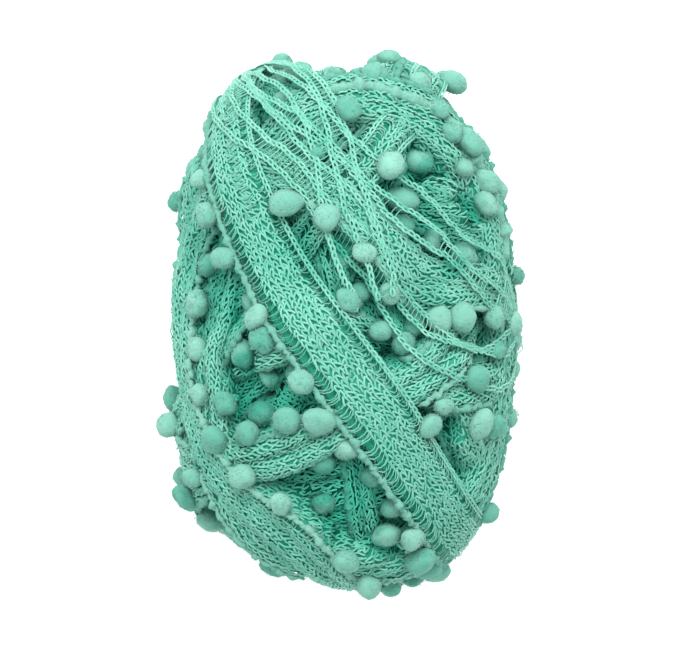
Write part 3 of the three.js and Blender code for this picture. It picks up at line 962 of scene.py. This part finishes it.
# A column of chain stitches at a place across the tape, which may change along it.
def addChain(yarn, turn, angle, out, lift, thick=1.0):
    if len(angle) == 0:
        return
    here, along, across, up = turn.framed(angle, out, lift)
    for side in (-1, 1):
        x = side * np.array(chain["legAcross"]) * chain["across"] * thick
        y = np.array(chain["legAlong"]) * chain["pitch"]
        z = np.array(chain["legLift"]) * thick
        lines = legLines(here, along, across, up, x, y, z)
        ups = np.broadcast_to(up[:, None, :], lines.shape)
        yarn.addThreads(lines, ups, chain["radius"] * thick, rng.uniform(0.4, 1, len(angle)))


def addChains(yarn, turn):
    for tapePlace in cloths[turn.cloth]["chains"]:
        outHere = folded(turn, np.zeros(1), np.full(1, tapePlace))[0][0]
        angle = turn.paces(chain["pitch"], outHere)
        out, lift = folded(turn, angle, np.full_like(angle, tapePlace))
        shown = ~isCovered(turn, turn.place(angle, out), chain["shown"])
        addChain(yarn, turn, angle[shown], out[shown], lift[shown] + chain["lift"])


deepCloth = {
    "axis": (0.35, 0.9, 0.25),
    "wale": 1.75,
    "lift": 0.15,
}


# Where no turn covers the ball the knit of a deeper turn shows.
def addDeepCloth(yarn):
    axis = unit(np.array(deepCloth["axis"]))
    sideways = unit(np.cross(axis, [0.0, 0.0, 1.0]))
    upwards = np.cross(axis, sideways)
    reach = ballForm["halfWidth"]
    circles = int(np.pi * reach * 1.5 / deepCloth["wale"])

    def spot(opened, angle):
        flat = np.cos(angle)[:, None] * sideways + np.sin(angle)[:, None] * upwards
        direction = np.cos(opened)[:, None] * axis + np.sin(opened)[:, None] * flat
        return direction * (surfaceRadius(direction) + deepCloth["lift"])[:, None]

    for circle in range(1, circles):
        opened = np.pi * circle / circles
        count = max(6, int(2 * np.pi * reach * math.sin(opened) * 1.15 / stitch["course"]))
        angle = 2 * np.pi * (np.arange(count) + 0.5 * (circle % 2)) / count
        opened = np.full(count, opened)
        bare = np.ones(count, bool)
        direction = unit(spot(opened, angle))
        for turn in turns:
            bare &= np.abs(turn.locate(direction)[1]) > turn.width / 2 - 0.4
        if not bare.any():
            continue
        angle, opened = angle[bare], opened[bare]
        here = spot(opened, angle)
        along = unit(spot(opened, angle + 0.01) - spot(opened, angle - 0.01))
        across = spot(opened + 0.01, angle) - spot(opened - 0.01, angle)
        up = facing(unit(np.cross(along, across)), here)
        addLegs(yarn, here, along, np.cross(up, along), up, deepCloth["wale"])


# Thin loops of thread that stand off the cloth, and a few long ones at the right.
strays = {
    "spacing": 3.2,
    "reach": (1.4, 4.2),
    "rise": (0.5, 1.3),
    "radius": 0.13,
    "long": [
        ((0.96, -0.14, 0.22), 11.0, 3.2, 0.9),
        ((0.97, -0.24, 0.05), 9.0, 2.6, 1.4),
        ((0.72, -0.68, 0.12), 8.0, 3.0, 1.1),
        ((0.9, 0.38, 0.2), 7.0, 1.8, 0.7),
    ],
}


def addStrays(yarn, turn):
    angle = turn.paces(strays["spacing"])
    angle = angle + rng.uniform(-1, 1, len(angle)) * strays["spacing"] / turn.speed(angle)
    out = rng.uniform(-0.5, 0.5, len(angle)) * turn.width
    shown = ~isCovered(turn, turn.place(angle, out), 0.5)
    angle, out = angle[shown], out[shown]
    share = np.linspace(0, 1, 5)
    arch = np.sin(np.pi * share)
    reach = rng.uniform(*strays["reach"], len(angle))[:, None]
    rise = rng.uniform(*strays["rise"], len(angle))[:, None]
    heading = rng.uniform(0, 2 * np.pi, len(angle))[:, None]
    bend = rng.normal(0, 0.5, len(angle))[:, None]
    forward = reach * (share - 0.5)
    sideways = bend * arch
    lengthwise = forward * np.cos(heading) - sideways * np.sin(heading)
    angles = angle[:, None] + lengthwise / turn.speed(angle)[:, None]
    outs = out[:, None] + forward * np.sin(heading) + sideways * np.cos(heading)
    outs = np.clip(outs, -turn.width / 2, turn.width / 2)
    lines = turn.point(angles, outs, rise * arch - 0.1)
    yarn.addTubes(lines, unit(lines), strays["radius"], rng.uniform(0.5, 1, len(angle)))


def addLongLoops(yarn):
    for towards, reach, rise, lean in strays["long"]:
        middle = unit(np.array(towards))
        along = unit(np.cross([0.0, 0.0, 1.0], middle) + 0.2 * lean * np.array([0.0, 0.0, 1.0]))
        share = np.linspace(-1, 1, 15)[:, None]
        directions = unit(middle + along * share * reach / 100)
        away = rise * np.cos(share[:, 0] * np.pi / 2) * (1 + 0.2 * np.sin(7 * share[:, 0] + lean))
        lines = directions * (surfaceRadius(directions) + away)[:, None]
        yarn.addTubes(lines[None], unit(lines)[None], 1.3 * strays["radius"], 0.6)


for turn in turns:
    yarn = Yarn()
    addStrays(yarn, turn)
    if turn.cloth == "gathered":
        addRopes(yarn, turn)
    else:
        addStitches(yarn, turn)
        addRungs(yarn, turn)
        addChains(yarn, turn)
    yarn.make("tape_" + turn.name, threadMaterial)
deep = Yarn()
addDeepCloth(deep)
deep.make("tape_deep", threadMaterial)
loops = Yarn()
addLongLoops(loops)
loops.make("stray_loops", threadMaterial)
print("the tape is knitted:", sum(triangleCounts.values()), "triangles")

# The nets are three chains each, which part and meet, with rungs where they run close together.
netForm = {
    "columns": [-4.6, -1.4, 4.4],
    "wander": 3.2,
    "rungReach": 5.0,
    "rungPitch": 1.25,
    "rungBow": 0.5,
    "rungRise": 0.2,
    "lift": 0.9,
    "thick": 1.05,
    "jitter": 0.45,
    "uprightFrom": 0.12,  # how far up the ball the upright net starts, from 0 to 1
}


def netPlace(net, angle, column):
    slow = net.drift(angle, 2 * column, (2, 3, 7))
    quick = net.drift(angle, column + 3, (19, 31, 47))
    return netForm["columns"][column] + netForm["wander"] * slow + netForm["jitter"] * quick


# The upright net shows only over the upper front, where it runs in among the others.
def netShown(net, angle):
    direction = net.place(angle, np.zeros_like(angle))
    if net.name == "net_upright":
        return (direction[..., 1] > netForm["uprightFrom"]) & (direction[..., 2] > 0)
    return np.ones(len(angle), bool)


for net in nets:
    yarn = Yarn()
    for column in range(len(netForm["columns"])):
        angle = net.paces(chain["pitch"], netForm["columns"][column])
        angle = angle[netShown(net, angle)]
        addChain(yarn, net, angle, netPlace(net, angle, column), netForm["lift"], netForm["thick"])
    for column in range(len(netForm["columns"]) - 1):
        angle = net.paces(netForm["rungPitch"])
        angle = angle[netShown(net, angle)]
        share = np.linspace(0, 1, rung["steps"])
        arch = 1 - (2 * share - 1) ** 2
        near = netPlace(net, angle, column)
        far = netPlace(net, angle, column + 1)
        close = np.abs(far - near) < netForm["rungReach"]
        angle, near, far = angle[close], near[close], far[close]
        angles = angle[:, None] + netForm["rungBow"] * arch / net.speed(angle)[:, None]
        out = near[:, None] + (far - near)[:, None] * share
        lines = net.point(angles, out, netForm["lift"] + netForm["rungRise"] * arch)
        yarn.addTubes(lines, unit(lines), rung["radius"], rng.uniform(0.3, 1, len(angle)))
    yarn.make(net.name, threadMaterial)
print("the nets are laid")

# The inner turns: the wound form itself, a little under the stitches.
innerForm = {
    "subdivisions": 7,
    "under": 0.4,  # below the stitches
    "back": 1.0,  # in from the edges of a turn
    "ladderDip": 1.6,
    "dipSteepness": 1.4,
    # Painted shade of the inner turns: their tint falls from 1 to 0 over this much height.
    "darkBelow": 3.5,
    "darkOver": 5.0,
}


def tapePlaceOf(turn, out):
    edge = turn.edges[0] if turn.edges else 1
    return (0.5 - edge * out / turn.width) * cloths[turn.cloth]["tape"]


def ladderDip(turn, angle, out):
    cloth = cloths[turn.cloth]
    tapePlace = tapePlaceOf(turn, out)
    dip = np.zeros_like(out)
    for start, end in cloth["rungs"]:
        middle = (start + end) / 2
        half = (end - start) / 2
        inside = 1 - np.abs(tapePlace - middle) / half
        dip = np.maximum(dip, np.clip(innerForm["dipSteepness"] * inside, 0, 1))
    lift = folded(turn, angle, tapePlace)[1]
    return lift - innerForm["ladderDip"] * dip


# How far the ropes of a gathered turn fall away towards their sides.
def ropeDip(turn, angle, out):
    dip = np.full_like(out, -1e3)
    for rope in range(ropeCount(turn)):
        middle, radius = ropeLine(turn, angle, rope)
        share = np.abs(out - middle) / radius
        fall = ropeForm["deepen"] * radius * (np.sqrt(1 - np.minimum(share, 1) ** 2) - 1)
        dip = np.maximum(dip, fall - ropeForm["gap"] * np.maximum(0, share - ropeForm["gapFrom"]))
    return dip


def makeInnerTurns():
    directions, faces = roundShape(innerForm["subdivisions"])
    directions = unit(directions)
    raised = raisedBy(directions, np.zeros(len(directions)))
    pocketed = np.ones(len(directions), bool)
    for turn in turns:
        angle, out = turn.locate(directions)
        mine = np.abs(out) < turn.width / 2 - innerForm["back"]
        pocketed = np.where(mine, turn.pocketed, pocketed)
        if turn.cloth == "gathered":
            top = raisedBy(directions, turn.top(angle, out, False)) + ropeDip(turn, angle, out)
        else:
            top = raisedBy(directions, turn.top(angle, out)) + ladderDip(turn, angle, out)
        raised = np.where(mine, top - innerForm["under"], raised)
    raised = raised - np.where(pocketed, pocketDepth(directions), 0)
    points = directions * (barrelRadius(directions) + raised)[:, None]
    # Painted shade: the inner turns are tinted darker the deeper they lie and the deeper the pocket.
    high = (raised + innerForm["darkBelow"]) / innerForm["darkOver"]
    tint = np.clip(high - pocketDepth(directions) / paintedShade["pocketOver"], 0, 1)
    piece = makePiece("inner_turns", points, faces, innerMaterial, tint)
    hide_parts("wound_ball")
    return points, faces


fillForm = {
    "cell": 1.45,
    "reach": 1.15,
    "lift": 0.15,
    "wide": 1.8,
    "steep": 0.4,
    "ladderFrom": 0.3,
    "each": 1.3,  # square millimetres for each place that is tried
}


# Whether the knit is open here, so that the inner turns are seen through the rungs.
def isLadderAt(directions):
    ladder = np.zeros(len(directions), bool)
    for turn in turns:
        angle, out = turn.locate(directions)
        here = np.zeros(len(directions), bool)
        if turn.cloth != "gathered":
            fold = folded(turn, angle, tapePlaceOf(turn, out))[1]
            here = ladderDip(turn, angle, out) - fold < -fillForm["ladderFrom"]
        ladder = np.where(np.abs(out) < turn.width / 2 - innerForm["back"], here, ladder)
    return ladder


# Stitches wherever the inner turns would still show bare, such as on steep sides.
def fillBarePlaces(points, faces):
    known = np.concatenate(stitchPlaces)
    tree = KDTree(len(known))
    for index, place in enumerate(known):
        tree.insert(place, index)
    tree.balance()
    corners = points[faces]
    normals = np.cross(corners[:, 1] - corners[:, 0], corners[:, 2] - corners[:, 0])
    tries = np.ceil(np.linalg.norm(normals, axis=-1) / 2 / fillForm["each"]).astype(int)
    corners = np.repeat(corners, tries, axis=0)
    normals = unit(np.repeat(normals, tries, axis=0))
    parts = rng.dirichlet([1.5, 1.5, 1.5], len(corners))
    places = (corners * parts[:, :, None]).sum(axis=1)
    isSteep = np.sum(normals * unit(places), axis=-1) < fillForm["steep"]
    candidates = np.flatnonzero(isSteep | ~isLadderAt(unit(places)))
    cells = np.floor(places[candidates] / fillForm["cell"]).astype(int)
    first = np.unique(cells, axis=0, return_index=True)[1]
    chosen = [index for index in candidates[first] if tree.find(places[index])[2] > fillForm["reach"]]
    up = normals[chosen]
    here = places[chosen] + fillForm["lift"] * up
    along = unit(np.cross(up, unit(here) + np.array([0.13, 0.07, 0.1])))
    yarn = Yarn()
    addLegs(yarn, here, along, np.cross(up, along), up, fillForm["wide"])
    yarn.make("tape_between", threadMaterial)
    return len(chosen)


innerPoints, innerFaces = makeInnerTurns()
print("bare places filled:", fillBarePlaces(innerPoints, innerFaces))
print("the inner turns are made")

# The pompoms stand along the edges, with a fuzzy cord between them.
pompomForm = {
    "radius": 3.5,
    "pitch": 12.0,
    "outside": 3.0,
    "variation": 0.12,
    "turn": 2.4,
    "squash": 0.8,
    "stretch": 0.26,
    "sunk": 1.9,
    "sunkMore": 0.5,  # for those on the shoulder
    "apart": 0.85,
    "overFloor": 0.9,
    "subdivisions": 3,
    "lumps": 0.12,
    "lumpWaves": 2.2,
    "grain": 0.02,
    "pale": 0.25,
    "paleRange": 0.55,
    "hairs": 280,
    "hairLength": 1.0,
    "hairRadius": 0.1,
    "hairRoot": 0.96,  # of the radius
    "hairLean": 0.4,
    "hairPale": 0.4,
    "hairVaries": 0.25,
}

# More of them are crumpled on the shoulder at the upper right: the middle and the radius.
shoulderPompoms = [
    (25.5, 56, 3.1),
    (29, 49.5, 3.0),
    (33, 46.5, 4.0),
    (31.5, 39.5, 2.8),
    (37.5, 36.5, 3.8),
    (34.5, 28.5, 3.2),
]

cordForm = {
    "radius": 0.75,
    "outside": 0.2,
    "step": 0.7,
    "sides": 5,
    "lumps": 0.1,
    "knot": 0.7,
    "knotPitch": 3.9,
    "wobble": 0.22,
    "lift": 0.25,
    "endSize": 0.3,
    "endGrowth": 0.2,  # for each step in from an end
    "pale": 0.8,
    "hairs": 6,
    "hairLength": 0.65,
    "hairRadius": 0.075,
    "hairRoot": 0.85,
    "hairUp": 0.5,
    "hairPale": 0.15,
    "hairVaries": 0.2,
}


# How far out a ball of this size comes to lie when it is set down on the turns.
def dropped(direction, radius):
    helper = np.where(np.abs(direction[..., 1:2]) < 0.9, [0.0, 1.0, 0.0], [1.0, 0.0, 0.0])
    side = unit(np.cross(helper, direction))
    other = np.cross(direction, side)
    best = surfaceRadius(direction) + radius
    for ring in (0.4, 0.75):
        reach = ring * radius
        for turned in np.arange(8) * np.pi / 4:
            step = np.cos(turned) * side + np.sin(turned) * other
            near = unit(direction * best[..., None] + step * reach[..., None])
            height = surfaceRadius(near) + np.sqrt(radius**2 - reach**2)
            best = np.maximum(best, height)
    return best


# The direction in which a spot on the front is seen from above.
def onFront(x, y):
    heights = np.arange(60, 0, -0.5)
    spots = np.stack([np.full_like(heights, x), np.full_like(heights, y), heights], axis=-1)
    isUnder = np.linalg.norm(spots, axis=-1) < surfaceRadius(unit(spots))
    return unit(spots[np.argmax(isUnder)])


def pompomPlaces():
    radii = [size for x, y, size in shoulderPompoms]
    direction = np.array([onFront(x, y) for x, y, size in shoulderPompoms])
    out = dropped(direction, np.array(radii)) - pompomForm["sunk"] - pompomForm["sunkMore"]
    centres = list(direction * out[:, None])
    for turn in reversed(turns):
        for edge in turn.edges:
            side = edge * (turn.width / 2 + pompomForm["outside"])
            angles = turn.paces(pompomForm["pitch"], side)
            direction = turn.place(angles, np.full_like(angles, side))
            shown = ~isCovered(turn, direction, -0.5)
            direction = direction[shown]
            order = 2 * np.arange(len(angles))[shown]
            change = pompomForm["variation"] * np.sin(pompomForm["turn"] * order)
            radius = pompomForm["radius"] * (1 + change)
            if len(direction) == 0:
                continue
            out = dropped(direction, radius) - pompomForm["sunk"]
            for one, far, size in zip(direction, out, radius):
                centre = one * far
                isOverFloor = centre[2] + ballForm["restHeight"] >= size * pompomForm["overFloor"]
                isFree = all(
                    np.linalg.norm(centre - other) > pompomForm["apart"] * (size + big)
                    for other, big in zip(centres, radii)
                )
                if isOverFloor and isFree:
                    centres.append(centre)
                    radii.append(size)
    return np.array(centres), np.array(radii)


def makePompoms():
    centres, radii = pompomPlaces()
    ball, faces = roundShape(pompomForm["subdivisions"])
    balls = Yarn()
    pile = Yarn()
    for centre, radius in zip(centres, radii):
        out = unit(centre)
        shade = rng.uniform(0, 1)
        waves = rng.normal(0, 1, (6, 3)) * pompomForm["lumpWaves"]
        phases = rng.uniform(0, 2 * np.pi, 6)
        lumps = np.sin(ball @ waves.T + phases).mean(axis=1)
        grain = rng.normal(0, pompomForm["grain"], len(ball))
        local = ball * (radius * (1 + pompomForm["lumps"] * 2 * lumps + grain))[:, None]
        longer = unit(np.cross(out, rng.normal(0, 1, 3)))
        stretch = rng.uniform(-1, 1) * pompomForm["stretch"]

        def pressed(points):
            shorter = (points @ out)[:, None] * out * (pompomForm["squash"] - 1)
            return points + shorter + (points @ longer)[:, None] * longer * stretch

        # The ball is tinted darker than its hairs: painted shade between the fibres.
        balls.add(centre + pressed(local), faces, pompomForm["pale"] + pompomForm["paleRange"] * shade)
        hairs = unit(rng.normal(0, 1, (pompomForm["hairs"], 3)))
        length = pompomForm["hairLength"] * rng.uniform(0.3, 1, len(hairs))[:, None]
        lean = unit(hairs + rng.normal(0, pompomForm["hairLean"], hairs.shape))
        roots = centre + pressed(hairs * radius * pompomForm["hairRoot"])
        pale = pompomForm["hairPale"] + pompomForm["paleRange"] * shade
        tint = np.clip(pale + rng.normal(0, pompomForm["hairVaries"], len(hairs)), 0, 1)
        pile.addSpikes(roots, roots + lean * length, pompomForm["hairRadius"], tint)
    piece = balls.make("pompoms", pileMaterial)
    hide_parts(*[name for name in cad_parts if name.startswith("pompom_string")])
    pile.make("pompom_fuzz", pileMaterial)
    return len(centres)


# A fuzzy fold of the pompom edge lies along the shoulder at the upper right.
foldForm = {
    "turn": "shoulder",
    "out": 0.06,  # of the turn's width
    "wander": 1.3,
    "lift": 0.3,
    "shade": 0.8,
    "towards": (0.5, 0.8, 0.3),
    "reach": 0.62,
    "radius": 1.25,
    "knot": 1.4,
    "knotPitch": 5.2,
    "sides": 8,
    "hairs": 40,
}


# One fuzzy cord with knots, along a line of points at an even step. Its ends are drawn out thin.
def addFuzzyCord(cords, fuzz, line, form, wander, shade):
    even = 2 * np.pi * np.arange(len(line)) * cordForm["step"] / form["knotPitch"]
    knots = np.maximum(0, np.sin(even + 2 * wander)) * (0.75 + 0.35 * np.sin(0.43 * even + 4 * wander))
    swell = 1 + cordForm["lumps"] * rng.normal(0, 1, len(line))
    fromEnd = np.minimum(np.arange(len(line)), np.arange(len(line))[::-1])
    taper = np.minimum(1, cordForm["endSize"] + cordForm["endGrowth"] * fromEnd)
    thick = (form["radius"] + form["knot"] * knots) * np.clip(swell, 0.6, 1.5) * taper
    cords.addTubes(line[None], unit(line)[None], thick[None], cordForm["pale"] * shade, form["sides"])
    roots = np.repeat(line, form["hairs"], axis=0)
    lean = unit(rng.normal(0, 1, roots.shape) + cordForm["hairUp"] * unit(roots))
    roots = roots + cordForm["hairRoot"] * lean * np.repeat(thick, form["hairs"])[:, None]
    length = rng.uniform(0.5, 1, len(roots)) * cordForm["hairLength"]
    pale = cordForm["hairPale"] + cordForm["pale"] * shade
    tint = np.clip(pale + rng.normal(0, cordForm["hairVaries"], len(roots)), 0, 1)
    fuzz.addSpikes(roots, roots + lean * length[:, None], cordForm["hairRadius"], tint)


def makeEdgeCords():
    cords = Yarn()
    fuzz = Yarn()
    for turn in turns:
        for edge in turn.edges:
            side = edge * (turn.width / 2 - cordForm["outside"])
            angle = turn.paces(cordForm["step"], side)
            shown = ~isCovered(turn, turn.place(angle, np.full_like(angle, side)), 0.2)
            ends = np.flatnonzero(np.diff(np.concatenate([[False], shown, [False]]).astype(int)))
            for first, last in zip(ends[::2], ends[1::2]):
                if last - first < 4:
                    continue
                run = angle[first:last]
                wobble = cordForm["wobble"] * rng.normal(0, 1, (2, len(run)))
                line = turn.point(run, side + wobble[0], cordForm["lift"] + wobble[1])
                wander = turn.drift(run, 3, (5, 9, 17))
                addFuzzyCord(cords, fuzz, line, cordForm, wander, rng.uniform(0.3, 0.9))
        if turn.name == foldForm["turn"]:
            angle = turn.paces(cordForm["step"])
            out = foldForm["out"] * turn.width + foldForm["wander"] * turn.drift(angle, 2, (7, 12, 19))
            towards = unit(np.array(foldForm["towards"]))
            near = turn.place(angle, out) @ towards > math.cos(foldForm["reach"])
            line = turn.point(angle[near], out[near], foldForm["lift"], False)
            wander = turn.drift(angle[near], 1, (5, 9, 17))
            addFuzzyCord(cords, fuzz, line, foldForm, wander, foldForm["shade"])
    cords.make("edge_cords", pileMaterial)
    fuzz.make("edge_fuzz", pileMaterial)


pompomCount = makePompoms()
makeEdgeCords()
print("the pompoms are on:", pompomCount)

# The surface it lies on, the light and the camera, which looks straight down on the ball.
studio = {
    "floorSize": 4.0,
    "paper": {
        "Base Color": (0.97, 0.97, 0.97, 1),
        "Roughness": 0.9,
        "Emission Color": (1, 1, 1, 1),
        "Emission Strength": 0.3,
    },
    "sky": {"Color": (1, 1, 1, 1), "Strength": 1.13},
    "keySize": 0.6,
    "keyPower": 13.5,
    "keyPlace": (-0.05, 0.6, 0.95),
    "cameraDistance": 1.3,
    "viewHeight": 0.175,
    "photoWidth": 679,
    "photoHeight": 646,
    "sensor": 36.0,
}


def makeStudio():
    bpy.ops.mesh.primitive_plane_add(size=studio["floorSize"])
    floor = bpy.context.object
    floor.name = "floor"
    paper = bpy.data.materials.new("floor_paper")
    paper.use_nodes = True
    setInputs(paper.node_tree.nodes["Principled BSDF"], studio["paper"])
    floor.data.materials.append(paper)
    world = bpy.data.worlds.new("studio")
    world.use_nodes = True
    setInputs(world.node_tree.nodes["Background"], studio["sky"])
    bpy.context.scene.world = world
    key = bpy.data.lights.new("key", "AREA")
    key.size = studio["keySize"]
    key.energy = studio["keyPower"]
    keyObject = bpy.data.objects.new("key", key)
    keyObject.location = studio["keyPlace"]
    toBall = Vector((0, 0, ballForm["restHeight"] / 1000)) - keyObject.location
    keyObject.rotation_euler = toBall.to_track_quat("-Z", "Y").to_euler()
    bpy.context.scene.collection.objects.link(keyObject)


def makeCamera():
    camera = bpy.data.cameras.new("camera")
    camera.sensor_width = studio["sensor"]
    across = studio["viewHeight"] * studio["photoWidth"] / studio["photoHeight"]
    camera.lens = studio["sensor"] * studio["cameraDistance"] / across
    cameraObject = bpy.data.objects.new("camera", camera)
    middle = [(low + high) / 2 for low, high in zip(*cadBounds)]
    cameraObject.location = (middle[0], middle[1], middle[2] + studio["cameraDistance"])
    bpy.context.scene.collection.objects.link(cameraObject)
    bpy.context.scene.camera = cameraObject


makeStudio()
makeCamera()
bpy.context.scene.view_settings.view_transform = "Standard"
largest = max(triangleCounts, key=triangleCounts.get)
print("triangles:", sum(triangleCounts.values()), "the most in", largest, triangleCounts[largest])
